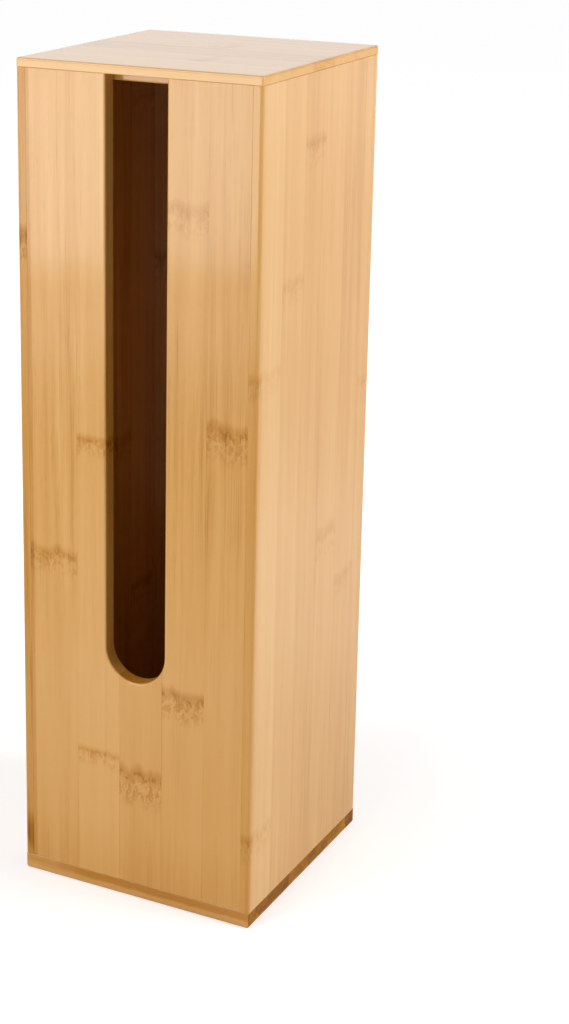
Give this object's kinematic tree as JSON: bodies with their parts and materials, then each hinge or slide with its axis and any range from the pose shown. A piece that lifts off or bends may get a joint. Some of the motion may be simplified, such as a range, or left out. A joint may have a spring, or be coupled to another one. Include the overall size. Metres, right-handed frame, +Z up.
{
  "type": "toilet roll holder",
  "caption": "Tall square bamboo box with a lift-off lid and a round-ended slot in its front, which stores a stack of spare toilet rolls.",
  "frame": {"origin": "centre of the footprint, on the surface that the box stands on", "axes": "+Z up through the lid, the slot in the front panel faces -Y, +X to the right of a viewer who faces the slot"},
  "size_m": [0.13, 0.13, 0.425],
  "materials": {
    "wall_bamboo": "clear satin lacquer",
    "base_bamboo": "clear satin lacquer",
    "lid_bamboo": "clear satin lacquer"
  },
  "bodies": {
    "box": {"base_board": "base_bamboo", "left_panel": "wall_bamboo", "right_panel": "wall_bamboo", "back_panel": "wall_bamboo", "front_panel": "wall_bamboo"},
    "lid": {"lid_board": "lid_bamboo", "lid_locating_board": "lid_bamboo"}
  },
  "joints": [
    {"name": "lid_lift", "type": "slide", "parent": "box", "child": "lid", "axis": [0, 0, 1], "range_m": [0, 0.15]}
  ]
}
